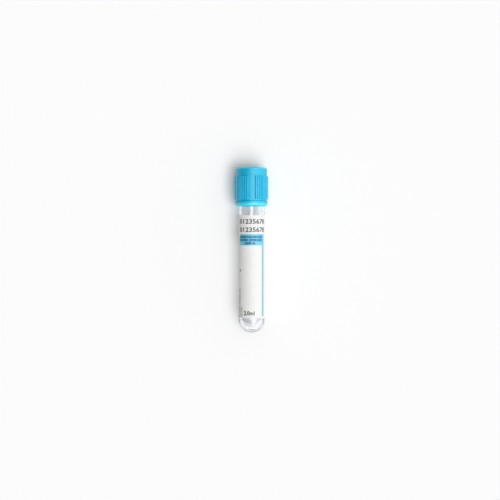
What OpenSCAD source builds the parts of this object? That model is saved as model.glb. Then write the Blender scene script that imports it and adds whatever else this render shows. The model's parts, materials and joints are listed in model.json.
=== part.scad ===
// Blood collection tube, 13 x 75 mm, with a ribbed safety cap, a rubber stopper, a wrap-round label and a
// small pool of liquid additive. It lies on its side, as it comes to rest on a bench: the cap stands on the
// edges of two rib groups and the tube on its round end.
// Heights along the tube are counted from the plane of its mouth, positive out of the mouth.

/* [Tube] */
// Outer diameter of the tube
tube_d = 13; // [12:0.25:16]
// Length of the tube from its mouth to its closed end
tube_l = 75; // [65:1:100]
// Thickness of the tube's side wall
tube_wall = 1; // [0.8:0.05:1.3]
// Thickness of the closed end at its middle
tube_base = 2; // [1.4:0.1:3]
// Diameter of the small flat on the closed end
base_flat_d = 4; // [3.2:0.2:6]
// Bevel inside the tube's mouth
mouth_bevel = 0.3; // [0.1:0.05:0.5]
// Diameter of the moulding gate's recess in the flat
gate_recess_d = 2.6; // [2:0.1:3]
// Depth of the gate's recess
gate_depth = 0.3; // [0.15:0.05:0.5]
// Diameter of the gate nub that stands in the recess
gate_nub_d = 1.2; // [0.8:0.1:1.6]

/* [Label] */
// Length of the label along the tube
label_l = 51.4; // [30:0.1:52]
// Distance from the closed end to the label
label_rise = 7.5; // [7:0.5:10]
// Thickness of the label film
label_t = 0.08; // [0.05:0.01:0.12]
// Thickness of the glue under the label
glue_t = 0.02; // [0.01:0.01:0.05]
// Angle of the clear window that the label leaves along the tube, in degrees
window_angle = 30; // [24:1:70]

/* [Cap] */
// Overall length of the cap
cap_l = 19.2; // [17.5:0.1:24]
// How far the cap's skirt reaches down over the tube
cap_overlap = 11.5; // [9.5:0.1:12.5]
// Gap between the tube and the skirt round it
skirt_gap = 0.4; // [0.25:0.05:0.8]
// Wall of the skirt at a smooth panel
skirt_wall = 0.85; // [0.7:0.05:1.2]
// Height of the smooth collar at the top
collar_l = 4.2; // [3:0.1:5.5]
// Wall of the collar round the needle well
collar_wall = 1.3; // [1.1:0.05:1.7]
// How much wider the needle well is at its top than at its foot, on each side
well_draft = 0.15; // [0:0.05:0.3]
// Radius of the collar's outer top edge
collar_round = 0.8; // [0.3:0.05:0.85]
// Bevel at the needle well's mouth
well_bevel = 0.2; // [0.1:0.05:0.4]
// Height of the lip round the skirt's open end
lip_l = 2.6; // [1.8:0.1:3.2]
// How far the lip stands out from the smooth panels
lip_out = 0.3; // [0.15:0.05:0.35]
// How far the lip's round lower edge draws in
lip_round = 0.95; // [0.5:0.05:0.95]
// Height of the lip's round lower edge
lip_round_l = 1.5; // [0.8:0.1:1.6]
// Bevel inside the skirt's open end
skirt_bevel = 0.15; // [0.05:0.05:0.2]
// Width of the groove between the ribs and the lip
groove_w = 0.7; // [0.4:0.1:1.2]

/* [Grip ribs] */
// Number of rib groups round the cap
rib_groups = 6; // [6, 8]
// Number of ribs in a group
ribs_per_group = 5; // [3:1:5]
// Angle from one rib to the next, in degrees
rib_pitch = 7.5; // [6.5:0.25:7.5]
// Height of the ribs over the smooth panels
rib_out = 0.65; // [0.6:0.05:1]
// Height of the band between the ribs over the smooth panels
rib_root_out = 0.28; // [0.13:0.05:0.43]
// Width of a rib at its foot
rib_foot_w = 0.96; // [0.8:0.02:0.98]
// Radius of a rib's rounded crest
rib_round = 0.26; // [0.15:0.01:0.3]
// Bevel at the ribs' two ends
rib_bevel = 0.3; // [0.2:0.05:0.6]

/* [Stopper] */
// Thickness of the flange that seats on the tube's mouth
flange_t = 2; // [1.5:0.1:2.5]
// Gap between the flange and the skirt round it
flange_gap = 0.2; // [0.1:0.05:0.3]
// Thickness of the cap's ledge, which grips the stopper's neck
ledge_t = 1; // [0.8:0.1:1.5]
// Diameter of the stopper's neck
neck_d = 10; // [9:0.25:10.5]
// Gap between the neck and the ledge round it
neck_gap = 0.1; // [0.05:0.05:0.2]
// Height of the stopper's head above the ledge
head_t = 2; // [1.5:0.1:2.5]
// Gap between the head and the needle well's wall
head_gap = 0.25; // [0.1:0.05:0.4]
// Length of the plug in the tube's bore
plug_l = 8; // [6.5:0.5:9]
// Gap between the plug's two sealing bands and the bore
seal_gap = 0.02; // [0.01:0.01:0.05]
// Width of each sealing band
seal_w = 2.2; // [1.5:0.1:2.4]
// How far the waist between the sealing bands is set in
waist_in = 0.25; // [0.1:0.05:0.4]
// Length of the taper at the plug's end
plug_taper_l = 1.2; // [0.8:0.1:1.5]
// How far the taper draws in
plug_taper_in = 0.6; // [0.3:0.1:0.9]
// Diameter of the dimple that guides the needle
dimple_d = 6.8; // [6.4:0.2:7.6]
// Depth of the dimple
dimple_depth = 2.2; // [1.6:0.1:2.6]
// Diameter of the hollow in the plug's underside
hollow_d = 6.4; // [5.6:0.2:7]
// Thickness of rubber between the dimple and the hollow
septum_t = 4.2; // [3.5:0.1:5]

/* [Additive] */
// Depth of the pool at its deepest
pool_depth = 3; // [2:0.1:4]
// Length of the pool from the closed end's inside
pool_l = 13; // [9:0.5:20]
// Radius of the pool's rounded front
pool_round = 1.6; // [0.8:0.1:1.9]
// Gap between the pool and the tube's wall
pool_gap = 0.05; // [0.03:0.01:0.1]

/* [Hidden] */
$fn = 96;

// Points on each rounded edge, and on each rib's crest.
edge_steps = 6;
crest_steps = 4;
// Angle that a rib's round crest turns through, to each side of its middle.
crest_angle = 75;
// How far a cutting shape runs past what it cuts.
over = 1;

// Tube
tube_r = tube_d / 2;
bore_r = tube_r - tube_wall;
base_flat_r = base_flat_d / 2;
end_centre_h = -tube_l + sqrt(tube_r * tube_r - base_flat_r * base_flat_r);
bore_centre_h = -tube_l + tube_base + bore_r;

// Label
label_in_r = tube_r + glue_t;
label_out_r = label_in_r + label_t;

// Cap
cap_top_h = cap_l - cap_overlap;
cap_foot_h = -cap_overlap;
skirt_r = tube_r + skirt_gap;
panel_r = skirt_r + skirt_wall;
lip_r = panel_r + lip_out;
lip_top_h = cap_foot_h + lip_l;
collar_foot_h = cap_top_h - collar_l;
rib_foot_h = lip_top_h + groove_w;
rib_r = panel_r + rib_out;
rib_root_r = panel_r + rib_root_out;
group_pitch = 360 / rib_groups;
group_angle = (ribs_per_group - 1) * rib_pitch;
ledge_foot_h = flange_t;
ledge_top_h = flange_t + ledge_t;
well_r = panel_r - collar_wall - well_draft;
ledge_r = neck_d / 2 + neck_gap;
// How deep the ribs and their band reach into the wall that they grow out of.
rib_sink = skirt_wall / 2;
rib_seat_r = panel_r - rib_sink;

// Stopper
flange_r = skirt_r - flange_gap;
neck_r = neck_d / 2;
head_r = well_r - head_gap;
head_top_h = ledge_top_h + head_t;
plug_r = bore_r - seal_gap;
dimple_r = dimple_d / 2;
dimple_foot_h = head_top_h - dimple_depth;
hollow_r = hollow_d / 2;
hollow_top_h = dimple_foot_h - septum_t;

// Rest: the closed end's sphere and the lowest edges of the cap both touch the bench.
// The two lowest ribs stand half a panel to each side of straight down.
panel_half = (group_pitch - group_angle) / 2;
rib_reach = (rib_r - rib_round) * cos(panel_half) + rib_round;
end_reach = max(tube_r, label_out_r * cos(window_angle / 2));
function tilt_on(h, reach) =
    acos(end_reach / norm([h - end_centre_h, reach])) - atan2(h - end_centre_h, reach);
tilt = max(tilt_on(rib_foot_h + rib_bevel, rib_reach),
           tilt_on(cap_foot_h + lip_round_l, lip_r));
middle_h = (cap_top_h - tube_l) / 2;
axis_z = end_reach + (middle_h - end_centre_h) * sin(tilt);

// Additive: the bore's lowest line at the closed end is straight under the bore's centre.
bore_foot_z = axis_z + (bore_centre_h - middle_h) * sin(tilt) - bore_r;
pool_z = bore_foot_z + pool_depth;
bore_end_y = (bore_centre_h - bore_r - middle_h) * cos(tilt);

// Points along an arc, from angle a to angle b, with its height scaled by stretch.
function arc(centre, r, a, b, steps, stretch = 1) =
    [for (i = [0:steps]) let (t = a + (b - a) * i / steps) centre + r * [cos(t), stretch * sin(t)]];

// Lays a shape that stands on the tube's axis, with heights along Z, on the bench.
module laid() {
    translate([0, 0, axis_z]) rotate([tilt - 90, 0, 0]) translate([0, 0, -middle_h]) children();
}

// Half outline of a round-ended rod: radius r up to height top, with its end's centre at centre_h.
module rod_half(r, centre_h, top) {
    intersection() {
        translate([0, centre_h - r - over]) square([r + over, top - centre_h + r + over]);
        union() {
            translate([0, centre_h]) circle(r);
            translate([0, centre_h]) square([r, top - centre_h + over]);
        }
    }
}

module tube() {
    color([0.86, 0.91, 0.94, 0.4]) laid() difference() {
        rotate_extrude() intersection() {
            rod_half(tube_r, end_centre_h, 0);
            translate([0, -tube_l]) square([tube_r + over, tube_l]);
        }
        rotate_extrude() rod_half(bore_r, bore_centre_h, over);
        rotate_extrude() polygon([
            [0, -mouth_bevel],
            [bore_r, -mouth_bevel],
            [bore_r + mouth_bevel, 0],
            [bore_r + mouth_bevel, over],
            [0, over]
        ]);
        translate([0, 0, -tube_l - over]) difference() {
            cylinder(d = gate_recess_d, h = over + gate_depth);
            cylinder(d = gate_nub_d, h = over + gate_depth);
        }
    }
}

module label() {
    color("white") laid() rotate([0, 0, 90 + window_angle / 2])
        rotate_extrude(angle = 360 - window_angle)
            translate([label_in_r, label_rise - tube_l]) square([label_t, label_l]);
}

// Half outline of the cap's smooth wall: collar, panels and lip, with the well, the ledge and the skirt.
module cap_half() {
    polygon(concat(
        [[skirt_r, ledge_foot_h], [ledge_r, ledge_foot_h], [ledge_r, ledge_top_h], [well_r, ledge_top_h]],
        [[well_r + well_draft, cap_top_h - well_bevel], [well_r + well_draft + well_bevel, cap_top_h]],
        arc([panel_r - collar_round, cap_top_h - collar_round], collar_round, 90, 0, edge_steps),
        [[panel_r, lip_top_h + lip_out / 2], [lip_r - lip_out / 2, lip_top_h]],
        [[lip_r, lip_top_h - lip_out / 2]],
        arc([lip_r - lip_round, cap_foot_h + lip_round_l], lip_round, 0, -90, edge_steps,
            lip_round_l / lip_round),
        [[skirt_r + skirt_bevel, cap_foot_h], [skirt_r, cap_foot_h + skirt_bevel]]
    ));
}

// Outline of one rib, lying along X: a tapered foot with a round crest.
module rib_outline() {
    foot = [rib_seat_r, rib_foot_w / 2];
    crest = [rib_r - rib_round, 0];
    polygon(concat(
        [foot],
        arc(crest, rib_round, crest_angle, -crest_angle, crest_steps),
        [[foot.x, -foot.y]]
    ));
}

// Outline of one group: the raised band under the ribs, and the ribs.
module group_outline() {
    edge = group_angle / 2;
    // The corners past rib_r lie outside the circle, so only the band's two sides and its root cut it.
    far_r = 2 * rib_r;
    intersection() {
        circle(rib_root_r);
        polygon([
            rib_seat_r * [cos(edge), -sin(edge)],
            far_r * [cos(edge), -sin(edge)],
            far_r * [cos(edge), sin(edge)],
            rib_seat_r * [cos(edge), sin(edge)]
        ]);
    }
    for (i = [0:ribs_per_group - 1]) rotate(i * rib_pitch - edge) rib_outline();
}

// The ribs all round, with their ends bevelled.
module grip_ribs() {
    rib_l = collar_foot_h - rib_foot_h;
    intersection() {
        translate([0, 0, rib_foot_h]) linear_extrude(rib_l)
            for (g = [0:rib_groups - 1]) rotate(90 + (g + 0.5) * group_pitch) group_outline();
        rotate_extrude() polygon([
            [0, rib_foot_h - over],
            [rib_r - rib_bevel - over, rib_foot_h - over],
            [rib_r, rib_foot_h + rib_bevel],
            [rib_r + over, rib_foot_h + rib_bevel + over],
            [rib_r + over, collar_foot_h - rib_bevel - over],
            [rib_r, collar_foot_h - rib_bevel],
            [rib_r - rib_bevel - over, collar_foot_h + over],
            [0, collar_foot_h + over]
        ]);
    }
}

module safety_cap() {
    color([0.16, 0.68, 0.86]) laid() union() {
        rotate_extrude() cap_half();
        grip_ribs();
    }
}

module stopper() {
    waist_r = plug_r - waist_in;
    band_top_h = -plug_l + plug_taper_l + seal_w;
    color([0.36, 0.38, 0.41]) laid() difference() {
        rotate_extrude() polygon([
            [0, -plug_l],
            [plug_r - plug_taper_in, -plug_l],
            [plug_r, -plug_l + plug_taper_l],
            [plug_r, band_top_h],
            [waist_r, band_top_h + waist_in],
            [waist_r, -seal_w - waist_in],
            [plug_r, -seal_w],
            [plug_r, 0],
            [flange_r, 0],
            [flange_r, ledge_foot_h],
            [neck_r, ledge_foot_h],
            [neck_r, ledge_top_h],
            [head_r, ledge_top_h],
            [head_r, head_top_h],
            [0, head_top_h]
        ]);
        // The needle's dimple, with a round foot.
        rotate_extrude() polygon(concat(
            [[0, head_top_h + over], [0, dimple_foot_h]],
            arc([dimple_r - dimple_depth / 2, dimple_foot_h + dimple_depth / 2], dimple_depth / 2,
                -90, 0, edge_steps),
            [[dimple_r, head_top_h + over]]
        ));
        // The hollow under the septum, with a round crown.
        rotate_extrude() polygon(concat(
            [[hollow_r, -plug_l - over]],
            arc([0, hollow_top_h - hollow_r], hollow_r, 0, 90, edge_steps),
            [[0, -plug_l - over]]
        ));
    }
}

module additive() {
    front_y = bore_end_y + pool_l;
    deep_z = pool_z - pool_depth - over;
    color([0.85, 0.93, 0.96, 0.5]) intersection() {
        laid() rotate_extrude() rod_half(bore_r - pool_gap, bore_centre_h, -plug_l);
        // The pool's side view, drawn out across the bore: a level top and a round front.
        rotate([90, 0, 90]) translate([0, 0, -tube_r]) linear_extrude(tube_d) polygon(concat(
            [[bore_end_y - over, pool_z], [bore_end_y - over, deep_z], [front_y, deep_z]],
            arc([front_y - pool_round, pool_z - pool_round], pool_round, 0, 90, edge_steps)
        ));
    }
}

tube();
label();
safety_cap();
stopper();
additive();
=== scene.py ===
"""Looks of the blood collection tube: the finish of its five pieces, the print on its label, and the studio."""
import json
import math
import bmesh
import bpy
from mathutils import Matrix, Vector


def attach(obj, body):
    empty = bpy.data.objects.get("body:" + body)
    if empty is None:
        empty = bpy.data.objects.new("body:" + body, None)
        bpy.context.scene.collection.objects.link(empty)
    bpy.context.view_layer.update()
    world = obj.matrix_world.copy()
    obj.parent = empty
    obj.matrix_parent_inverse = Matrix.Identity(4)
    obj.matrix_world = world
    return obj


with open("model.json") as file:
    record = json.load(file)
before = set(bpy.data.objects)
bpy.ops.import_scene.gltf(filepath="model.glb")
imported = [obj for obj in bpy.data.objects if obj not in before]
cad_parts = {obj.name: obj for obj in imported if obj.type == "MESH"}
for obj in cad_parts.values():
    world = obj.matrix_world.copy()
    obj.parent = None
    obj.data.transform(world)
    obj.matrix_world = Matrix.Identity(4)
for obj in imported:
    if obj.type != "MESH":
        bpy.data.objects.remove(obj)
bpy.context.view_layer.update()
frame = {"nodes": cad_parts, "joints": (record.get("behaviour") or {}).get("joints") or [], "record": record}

MM = 0.001

# Places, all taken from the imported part. Distances along the tube count from AXIS_POINT.
BODY_MOUNT = next(mount for mount in frame["record"]["mounts"] if mount["name"] == "tube_body")
AXIS_POINT = Vector(BODY_MOUNT["pos_m"])
LABEL_R = BODY_MOUNT["dims"]["r_mm"] * MM
ALONG = Vector(frame["joints"][0]["axis"]).normalized()
ACROSS = Vector((1, 0, 0))
UPWARD = ACROSS.cross(ALONG)


def along_tube(node):
    """The lowest and the highest distance along the tube that a node reaches."""
    spots = [(v.co - AXIS_POINT).dot(ALONG) for v in frame["nodes"][node].data.vertices]
    return min(spots), max(spots)


LABEL_TOP = along_tube("label")[1]
CAP_FOOT, CAP_TOP = along_tube("safety_cap")

# ------------------------------------------------------------------ building nodes
# A Mix node has several sockets of the same name, so they are picked by number.
NUMBER_A, NUMBER_B, NUMBER_OUT = 2, 3, 0
COLOUR_A, COLOUR_B, COLOUR_OUT = 6, 7, 2

# Nearly all noise lies between these two values.
NOISE_LOW, NOISE_HIGH = 0.3, 0.7


class Tree:
    """A node tree, built up one node at a time."""

    def __init__(self, node_tree):
        self.nodes = node_tree.nodes
        self.links = node_tree.links

    def put(self, socket, value):
        """Links a socket to another one, or sets a plain value on it."""
        if isinstance(value, bpy.types.NodeSocket):
            self.links.new(value, socket)
        else:
            socket.default_value = value

    def add(self, kind, settings=None, **inputs):
        """Adds a node with those settings. In the names of its inputs, _ stands for a space."""
        node = self.nodes.new(kind)
        for name, value in (settings or {}).items():
            setattr(node, name, value)
        for name, value in inputs.items():
            self.put(node.inputs[name.replace("_", " ")], value)
        return node

    def calculate(self, operation, first, second):
        node = self.add("ShaderNodeMath", {"operation": operation})
        self.put(node.inputs[0], first)
        self.put(node.inputs[1], second)
        return node.outputs[0]

    def dot(self, vector, direction):
        node = self.add("ShaderNodeVectorMath", {"operation": "DOT_PRODUCT"})
        self.put(node.inputs[0], vector)
        self.put(node.inputs[1], direction)
        return node.outputs["Value"]

    def remap(self, value, low, high, to_low=0.0, to_high=1.0):
        """Maps the range from low to high to another one. What lies outside it stays at the ends."""
        node = self.add("ShaderNodeMapRange", Value=value, From_Min=low, From_Max=high, To_Min=to_low, To_Max=to_high)
        return node.outputs["Result"]


class Recipe(Tree):
    """A node material with a Principled shader."""

    def __init__(self, name):
        self.material = bpy.data.materials.new(name)
        self.material.use_nodes = True
        super().__init__(self.material.node_tree)
        self.shader = self.nodes["Principled BSDF"]
        self.spot = self.add("ShaderNodeTexCoord").outputs["Object"]

    def shade(self, **inputs):
        """Sets the shader's own sockets."""
        for name, value in inputs.items():
            self.put(self.shader.inputs[name.replace("_", " ")], value)

    def noise(self, size, detail=2.0, stretch=1):
        """Noise in patches of about that size, in metres, drawn out along the tube by stretch."""
        spot = self.spot
        if stretch != 1:
            spot = self.add("ShaderNodeMapping", Vector=spot, Scale=(1, 1 / stretch, 1)).outputs["Vector"]
        return self.add("ShaderNodeTexNoise", Vector=spot, Scale=1 / size, Detail=detail).outputs["Fac"]

    def spread(self, noise, low, high):
        """Maps noise to the range from low to high."""
        return self.remap(noise, NOISE_LOW, NOISE_HIGH, low, high)

    def along(self, start, end):
        """Runs from 0 to 1 between two distances along the tube."""
        origin = AXIS_POINT.dot(ALONG)
        return self.remap(self.dot(self.spot, ALONG), origin + start, origin + end)

    def between(self, share, first, second):
        """A colour between two, by share."""
        node = self.add("ShaderNodeMix", {"data_type": "RGBA"}, Factor=share)
        self.put(node.inputs[COLOUR_A], first)
        self.put(node.inputs[COLOUR_B], second)
        return node.outputs[COLOUR_OUT]

    def mottled(self, noise, first, second):
        """A colour that wanders between two with the noise."""
        return self.between(self.spread(noise, 0.0, 1.0), first, second)

    def bump(self, noise, strength, depth):
        """Bump on the shader, with depth in metres."""
        node = self.add("ShaderNodeBump", Height=noise, Strength=strength, Distance=depth)
        self.shade(Normal=node.outputs["Normal"])

    def let_light_through(self, tint, edge, share=1.0):
        """Lets lamplight, and that share of the light that other surfaces give back, pass straight through. It is
        tinted where it meets the surface square on and darkened to the edge colour where it grazes it, so that a
        clear piece casts a faint shadow with darker sides."""
        path = self.add("ShaderNodeLightPath").outputs
        given_back = self.calculate("MULTIPLY", path["Is Diffuse Ray"], share)
        passing = self.calculate("MAXIMUM", path["Is Shadow Ray"], given_back)
        facing = self.add("ShaderNodeLayerWeight", Blend=0.5).outputs["Facing"]
        clear = self.add("ShaderNodeBsdfTransparent", Color=self.between(facing, tint, edge))
        mix = self.add("ShaderNodeMixShader", Fac=passing)
        self.put(mix.inputs[1], self.shader.outputs[0])
        self.put(mix.inputs[2], clear.outputs[0])
        self.put(self.nodes["Material Output"].inputs["Surface"], mix.outputs[0])


# ------------------------------------------------------------------ materials
def srgb(code):
    """Linear colour of a hex code such as 3ec7e8."""
    parts = [int(code[i:i + 2], 16) / 255 for i in (0, 2, 4)]
    return [c / 12.92 if c <= 0.04045 else ((c + 0.055) / 1.055) ** 2.4 for c in parts] + [1.0]


# The cap's body is mottled between DEEP and LIGHT. Towards its lip and its top rim it fades to a paler cyan, which is
# a painted highlight and glow, not a colour that the plastic has.
CAP_DEEP = (0.001, 0.43, 0.67, 1)
CAP_LIGHT = (0.003, 0.46, 0.705, 1)
CAP_PAINTED_HIGHLIGHT = (0.045, 0.7, 0.9, 1)
LIP_BODY, LIP_HIGHLIGHT_FULL = CAP_FOOT + 2.0 * MM, CAP_FOOT + 1.2 * MM
RIM_BODY, RIM_HIGHLIGHT_FULL = CAP_TOP - 1.0 * MM, CAP_TOP - 0.5 * MM


def cap_plastic():
    """Light-blue moulded polyethylene, a little translucent, with a painted highlight that makes its lip and its top
    rim paler, as if lit through.
    """
    r = Recipe("cap_plastic")
    body = r.mottled(r.noise(5 * MM, detail=3.0), CAP_DEEP, CAP_LIGHT)
    # Painted highlight: the base colour is lightened towards a pale cyan at the lip and at the top rim.
    with_lip_highlight = r.between(r.along(LIP_BODY, LIP_HIGHLIGHT_FULL), body, CAP_PAINTED_HIGHLIGHT)
    r.shade(
        Base_Color=r.between(r.along(RIM_BODY, RIM_HIGHLIGHT_FULL), with_lip_highlight, CAP_PAINTED_HIGHLIGHT),
        Roughness=r.spread(r.noise(1.2 * MM), 0.34, 0.46),
        IOR=1.51,
        Subsurface_Weight=0.08,
        Subsurface_Radius=(0.3, 0.8, 1.0),
        Subsurface_Scale=0.8 * MM,
    )
    r.bump(r.noise(0.25 * MM, detail=3.0), strength=0.25, depth=0.02 * MM)
    return r.material


def clear_plastic():
    """Clear PET of the tube, with the faint waves and rubs of a moulded wall and a polished skin."""
    r = Recipe("clear_plastic")
    r.shade(
        Base_Color=(0.937, 0.953, 0.967, 1),
        Roughness=r.spread(r.noise(2 * MM, detail=3.0, stretch=4), 0.01, 0.06),
        IOR=1.38,
        Transmission_Weight=1.0,
        Coat_Weight=0.3,
        Coat_IOR=1.6,
        Coat_Roughness=0.03,
    )
    r.bump(r.noise(3 * MM, stretch=3), strength=0.15, depth=0.05 * MM)
    r.let_light_through(tint=(0.95, 0.957, 0.962, 1), edge=(0.68, 0.7, 0.72, 1))
    return r.material


def liquid():
    """The clear citrate solution."""
    r = Recipe("liquid")
    r.shade(
        Base_Color=(0.98, 0.985, 0.985, 1),
        Roughness=0.0,
        IOR=1.25,
        Transmission_Weight=1.0,
    )
    r.bump(r.noise(4 * MM), strength=0.05, depth=0.02 * MM)
    r.let_light_through(tint=(0.98, 0.98, 0.98, 1), edge=(0.65, 0.66, 0.67, 1))
    return r.material


def rubber():
    """Grey bromobutyl rubber with a dusty, matt skin."""
    r = Recipe("rubber")
    r.shade(
        Base_Color=r.mottled(r.noise(1.5 * MM, detail=4.0), srgb("595c60"), srgb("6a6d71")),
        Roughness=r.spread(r.noise(0.6 * MM), 0.55, 0.75),
        IOR=1.5,
    )
    r.bump(r.noise(0.15 * MM, detail=4.0), strength=0.35, depth=0.03 * MM)
    return r.material


FILM_DIM = (0.835, 0.835, 0.825, 1)
FILM_BRIGHT = (0.855, 0.855, 0.85, 1)


def label_film():
    """White satin film with a faint fibre in its coating. It lets some light through."""
    r = Recipe("label_film")
    r.shade(
        Base_Color=r.mottled(r.noise(4 * MM, detail=4.0), FILM_DIM, FILM_BRIGHT),
        Roughness=r.spread(r.noise(0.8 * MM), 0.4, 0.55),
        IOR=1.48,
        Specular_IOR_Level=0.1,
    )
    r.bump(r.noise(0.2 * MM, detail=5.0), strength=0.2, depth=0.012 * MM)
    r.let_light_through(tint=(0.93, 0.93, 0.92, 1), edge=(0.78, 0.78, 0.77, 1), share=0.6)
    return r.material


def ink(name, thin, thick):
    """Printing ink that covers the film a little unevenly."""
    r = Recipe(name)
    r.shade(
        Base_Color=r.mottled(r.noise(0.3 * MM, detail=4.0), srgb(thin), srgb(thick)),
        Roughness=r.spread(r.noise(0.5 * MM), 0.4, 0.55),
        IOR=1.48,
    )
    r.bump(r.noise(0.2 * MM, detail=5.0), strength=0.2, depth=0.012 * MM)
    return r.material


def dress(node, material):
    mesh = frame["nodes"][node].data
    mesh.materials.clear()
    mesh.materials.append(material)


dress("tube", clear_plastic())
dress("label", label_film())
dress("safety_cap", cap_plastic())
dress("stopper", rubber())
dress("additive", liquid())

BLACK_INK = ink("black_ink", "3c3c3c", "1e1e20")
BAND_INK = ink("band_ink", "70cce4", "64c3df")
NAVY_INK = ink("navy_ink", "0a4f80", "064470")
LINE_INK = ink("line_ink", "90cbcd", "80c0c4")

# ------------------------------------------------------------------ print on the label
# Print is made flat and this deep, and gets its real thickness when it is wrapped round the label. Its ink starts a
# little under the film's surface, and each layer of it stands this much higher.
PRINT_DEPTH = 1.0
INK_SINK = 0.006 * MM
INK_RISE = 0.010 * MM

# The widest strip that is left flat when print is bent round the label, and how near points are joined.
CUT_STEP = 0.25 * MM
WELD = 0.002 * MM

# The built-in font's digits at a text size of 1. Its 4 and 6 fill in when they are drawn much bolder, so no row has
# a 4, and the boldest have no 6. Every row's mesh closes with this number of steps to a curve.
DIGIT_HEIGHT = 0.682
DIGIT_ADVANCE = 0.5
CURVE_STEPS = 5


def added(name, bm):
    """Makes a bmesh into an object of the scene."""
    mesh = bpy.data.meshes.new(name)
    bm.to_mesh(mesh)
    bm.free()
    thing = bpy.data.objects.new(name, mesh)
    bpy.context.scene.collection.objects.link(thing)
    return thing


def cut_up(bm):
    """Cuts a flat mesh across into narrow strips, so that it can bend."""
    xs = [v.co.x for v in bm.verts]
    left, width = min(xs), max(xs) - min(xs)
    cuts = int(width / CUT_STEP)
    for i in range(1, cuts + 1):
        everything = bm.verts[:] + bm.edges[:] + bm.faces[:]
        place = (left + i * width / (cuts + 1), 0, 0)
        bmesh.ops.bisect_plane(bm, geom=everything, dist=WELD, plane_co=place, plane_no=ACROSS)


def on_label(spot, turn, down, layer):
    """Where a point of flat print lies on the label."""
    angle = math.radians(turn) + spot.x / LABEL_R
    out = LABEL_R - INK_SINK + spot.z * (INK_SINK + layer * INK_RISE)
    outward = ACROSS * math.sin(angle) + UPWARD * math.cos(angle)
    return AXIS_POINT + ALONG * (LABEL_TOP - down + spot.y) + outward * out


def wrapped(name, flat, turn, down, material, layer=1):
    """Wraps flat print round the label and uses it up. Its x runs round the tube from turn, in degrees from straight
    up, and its y runs along the tube from a line that lies down below the label's top edge. Its z, from 0 to 1, is
    the ink, and ink of layer 2 lies on ink of layer 1."""
    bm = bmesh.new()
    bm.from_mesh(flat)
    bpy.data.meshes.remove(flat)
    bmesh.ops.remove_doubles(bm, verts=bm.verts, dist=WELD)
    cut_up(bm)
    for v in bm.verts:
        v.co = on_label(v.co, turn, down, layer)
    bmesh.ops.recalc_face_normals(bm, faces=bm.faces)
    piece = added(name, bm)
    piece.data.materials.append(material)
    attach(piece, "vessel")


def slab(low, high):
    """A flat rectangle of print with its lowest corner at low and its highest at high."""
    bm = bmesh.new()
    bmesh.ops.create_cube(bm, size=1)
    for v in bm.verts:
        x = low[0] if v.co.x < 0 else high[0]
        y = low[1] if v.co.y < 0 else high[1]
        z = 0.0 if v.co.z < 0 else PRINT_DEPTH
        v.co = (x, y, z)
    mesh = bpy.data.meshes.new("slab")
    bm.to_mesh(mesh)
    bm.free()
    return mesh


def signs(text, height, pitch, bolder, upright):
    """Flat digits of that height and as wide as their pitch, centred on x = 0 with their feet on y = 0. Bolder is how
    far their strokes grow to each side, as a share of the text size. Upright is False where they read up the tube."""
    curve = bpy.data.curves.new("signs", "FONT")
    curve.body = text
    curve.align_x = "CENTER"
    curve.offset = bolder
    curve.resolution_u = CURVE_STEPS
    curve.extrude = PRINT_DEPTH / 2
    carrier = bpy.data.objects.new("signs", curve)
    flat = bpy.data.meshes.new_from_object(carrier)
    bpy.data.objects.remove(carrier)
    bpy.data.curves.remove(curve)
    scaled = Matrix.Diagonal((pitch / DIGIT_ADVANCE, height / DIGIT_HEIGHT, 1, 1))
    flat.transform(Matrix.Translation((0, 0, PRINT_DEPTH / 2)) @ scaled)
    if not upright:
        flat.transform(Matrix.Rotation(math.radians(90), 4, "Z"))
    return flat


# Name, signs, height and pitch in mm, boldness, turn of the middle, mm from the label's top edge down to the feet.
NUMBERS = (
    ("digit_row_1", "01235678", 2.2, 1.85, 0.022, 3.6, 4.2),
    ("digit_row_2", "01235678", 2.2, 1.85, 0.022, 3.6, 8.3),
    ("volume_mark", "2.0ml", 1.95, 1.29, 0.03, -11.1, 49.75),
)
BAND_NUMBERS = (
    ("band_line_1", "01235789 012357890123578", 1.0, 0.548, 0.06, -4.9, 11.35),
    ("band_line_2", "0123578901 2357890123578", 1.0, 0.542, 0.06, -6.7, 12.9),
    ("band_line_3", "0123578  901", 1.0, 0.524, 0.06, -8.1, 14.5),
)
SIDE_NUMBERS = (
    ("side_line_1", "0123567890 12356789 01235", 0.85, 0.588, 0.02, -58.5, 43.9),
    ("side_line_2", "0123 56789", 0.6, 0.5, 0.02, -46.0, 48.4),
)


def numbers(rows, material, layer=1, upright=True):
    for name, text, height, pitch, bolder, turn, down in rows:
        flat = signs(text, height * MM, pitch * MM, bolder, upright)
        wrapped(name, flat, turn, down * MM, material, layer)


# Fields of colour: turn in degrees, width and length, and how far down from the label's top edge their foot lies. The
# band reaches from its turn to the line's far side.
BAND_TURN = -61.0
BAND_L = 5.6 * MM
BAND_FOOT = 15.0 * MM
LINE_TURN = 57.5
LINE_W = 1.6 * MM
LINE_L = 35.5 * MM
LINE_FOOT = 50.5 * MM
TICK_TURN = -58.0
TICK_W = 0.55 * MM
TICK_L = 1.3 * MM
TICK_FOOT = 28.2 * MM


def blue_band():
    width = math.radians(LINE_TURN - BAND_TURN) * LABEL_R + LINE_W / 2
    wrapped("blue_band", slab((0, 0), (width, BAND_L)), BAND_TURN, BAND_FOOT, BAND_INK)


def panel_line():
    """The pale line down the panel's edge."""
    wrapped("panel_line", slab((-LINE_W / 2, 0), (LINE_W / 2, LINE_L)), LINE_TURN, LINE_FOOT, LINE_INK)


def fill_tick():
    wrapped("fill_tick", slab((-TICK_W / 2, 0), (TICK_W / 2, TICK_L)), TICK_TURN, TICK_FOOT, BLACK_INK)


numbers(NUMBERS, BLACK_INK)
numbers(BAND_NUMBERS, NAVY_INK, layer=2)
numbers(SIDE_NUMBERS, BLACK_INK, upright=False)
blue_band()
panel_line()
fill_tick()

# ------------------------------------------------------------------ studio
FLOOR_HALF = 3.0
FLOOR_WHITE = (0.97, 0.97, 0.97, 1)

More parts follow.
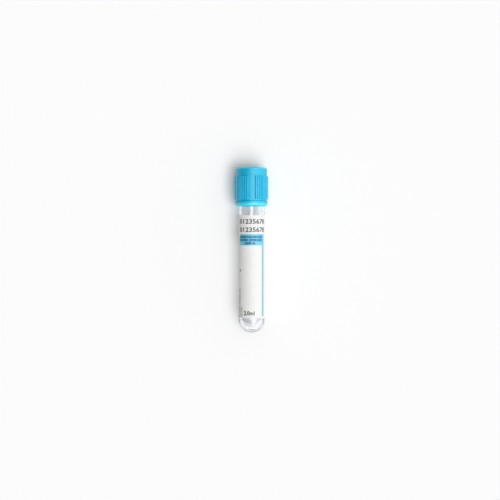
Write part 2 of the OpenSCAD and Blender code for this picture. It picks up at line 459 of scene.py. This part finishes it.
# The sky grows from 0, where the cosine to its bright side is DARK, to HIGH at that side. Gloss has a sky of its own.
SKY_SIDE = Vector((0.9, -0.3, 0.35)).normalized()
SKY_DARK = -1.0
SKY_HIGH = 0.55
GLOSS_SIDE = Vector((0.78, -0.58, 0.25)).normalized()
GLOSS_DARK = -0.1
GLOSS_HIGH = 4.2
SKY_SEEN = 0.965

# Lamps lean over to the right and along the tube by two angles, in degrees. Widths are in degrees too.
SOFT_LEANS = ((18, -34), (11, -18), (3, -2))
SOFT_WIDTH = 28
SOFT_ENERGY = 1.575
SIDE_LEAN = (28, -14)
SIDE_WIDTH = 20
SIDE_ENERGY = 0.76

# The camera looks straight down, and sees that much across at the height of the tube's axis.
CAMERA_X = -0.8 * MM
CAMERA_Y = 0.1 * MM
CAMERA_UP = 0.45
SEEN_ACROSS = 0.252
SENSOR_MM = 36
CLIP_NEAR = 0.01
CLIP_FAR = 20


def floor():
    r = Recipe("floor_paper")
    r.shade(
        Base_Color=FLOOR_WHITE,
        Roughness=1.0,
        Specular_IOR_Level=0.0,
    )
    bm = bmesh.new()
    bmesh.ops.create_grid(bm, x_segments=1, y_segments=1, size=FLOOR_HALF)
    plane = added("floor", bm)
    plane.data.materials.append(r.material)


def sky():
    """Soft light from all round, stronger from the lamps' side, and stronger still in what gloss shows of it. The
    camera and glass see plain white."""
    world = bpy.data.worlds.new("studio")
    world.use_nodes = True
    bpy.context.scene.world = world
    tree = Tree(world.node_tree)
    direction = tree.add("ShaderNodeTexCoord").outputs["Generated"]
    rays = tree.add("ShaderNodeLightPath").outputs

    def graded(side, dark, high):
        return tree.remap(tree.dot(direction, side), dark, 1.0, to_high=high)

    def for_rays(kind, level, other):
        """Gives the rays of one kind a strength of their own."""
        pick = tree.add("ShaderNodeMix", Factor=rays[kind])
        tree.put(pick.inputs[NUMBER_A], other)
        tree.put(pick.inputs[NUMBER_B], level)
        return pick.outputs[NUMBER_OUT]

    level = graded(SKY_SIDE, SKY_DARK, SKY_HIGH)
    level = for_rays("Is Glossy Ray", graded(GLOSS_SIDE, GLOSS_DARK, GLOSS_HIGH), level)
    level = for_rays("Is Transmission Ray", SKY_SEEN, level)
    level = for_rays("Is Camera Ray", SKY_SEEN, level)
    background = tree.nodes["Background"]
    tree.put(background.inputs["Color"], (1, 1, 1, 1))
    tree.put(background.inputs["Strength"], level)


def lamp(name, lean, width, energy):
    """A round lamp, far up and that wide, which leans over by two angles."""
    sun = bpy.data.lights.new(name, "SUN")
    sun.energy = energy
    sun.angle = math.radians(width)
    source = bpy.data.objects.new(name, sun)
    towards = Vector((math.tan(math.radians(lean[0])), math.tan(math.radians(lean[1])), 1.0))
    source.rotation_mode = "QUATERNION"
    source.rotation_quaternion = towards.to_track_quat("Z", "Y")
    bpy.context.scene.collection.objects.link(source)


def lamps():
    """A long softbox, made up of wide lamps that overlap, with a smaller one on its right."""
    for lean in SOFT_LEANS:
        lamp("softbox", lean, SOFT_WIDTH, SOFT_ENERGY / len(SOFT_LEANS))
    lamp("side_lamp", SIDE_LEAN, SIDE_WIDTH, SIDE_ENERGY)


def camera():
    data = bpy.data.cameras.new("camera")
    data.sensor_width = SENSOR_MM
    data.lens = SENSOR_MM * CAMERA_UP / SEEN_ACROSS
    data.clip_start = CLIP_NEAR
    data.clip_end = CLIP_FAR
    eye = bpy.data.objects.new("camera", data)
    eye.location = (CAMERA_X, CAMERA_Y, AXIS_POINT.z + CAMERA_UP)
    bpy.context.scene.collection.objects.link(eye)
    bpy.context.scene.camera = eye


floor()
sky()
lamps()
camera()
bpy.context.scene.view_settings.view_transform = "Standard"
